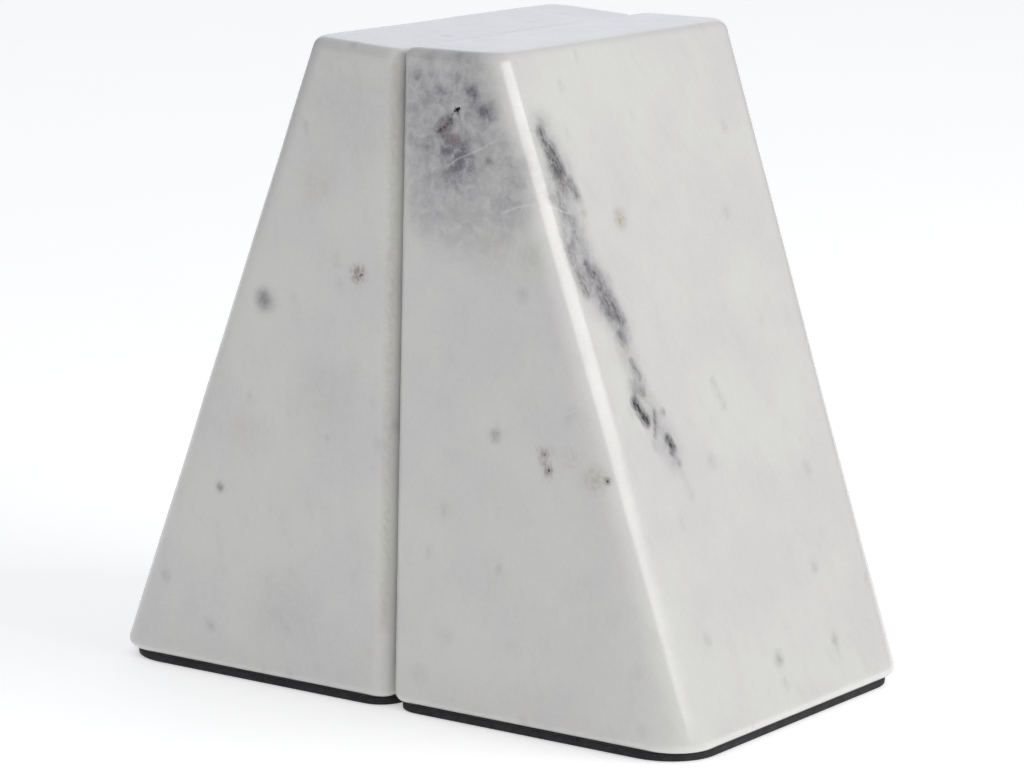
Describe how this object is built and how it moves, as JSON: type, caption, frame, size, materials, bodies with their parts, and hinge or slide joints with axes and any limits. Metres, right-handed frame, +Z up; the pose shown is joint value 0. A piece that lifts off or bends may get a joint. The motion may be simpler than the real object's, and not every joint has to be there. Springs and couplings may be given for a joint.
{
  "type": "pair of book ends",
  "caption": "Pair of solid marble wedge book ends that stand back to back and slide apart to hold a row of books, each on a thin black foam pad.",
  "frame": {"origin": "on the shelf, midway between the two book faces and midway from front to back, with the pair closed", "axes": "+Z up, +X from the left book end to the right one, across the book faces, +Y from the front end faces to the back ones"},
  "size_m": [0.1604, 0.1016, 0.1524],
  "materials": {
    "marble": "white marble with grey clouds and a dark grey vein, ground and satin polished",
    "foam_pad": "matt black closed-cell rubber foam",
    "adhesive_film": "translucent acrylic adhesive film"
  },
  "bodies": {
    "left_bookend": {"left_block": "marble", "left_adhesive": "adhesive_film", "left_pad": "foam_pad"},
    "right_bookend": {"right_block": "marble", "right_adhesive": "adhesive_film", "right_pad": "foam_pad"}
  },
  "joints": [
    {"name": "books_gap", "type": "slide", "parent": "left_bookend", "child": "right_bookend", "axis": [1, 0, 0], "range_m": [0, 0.3]}
  ]
}
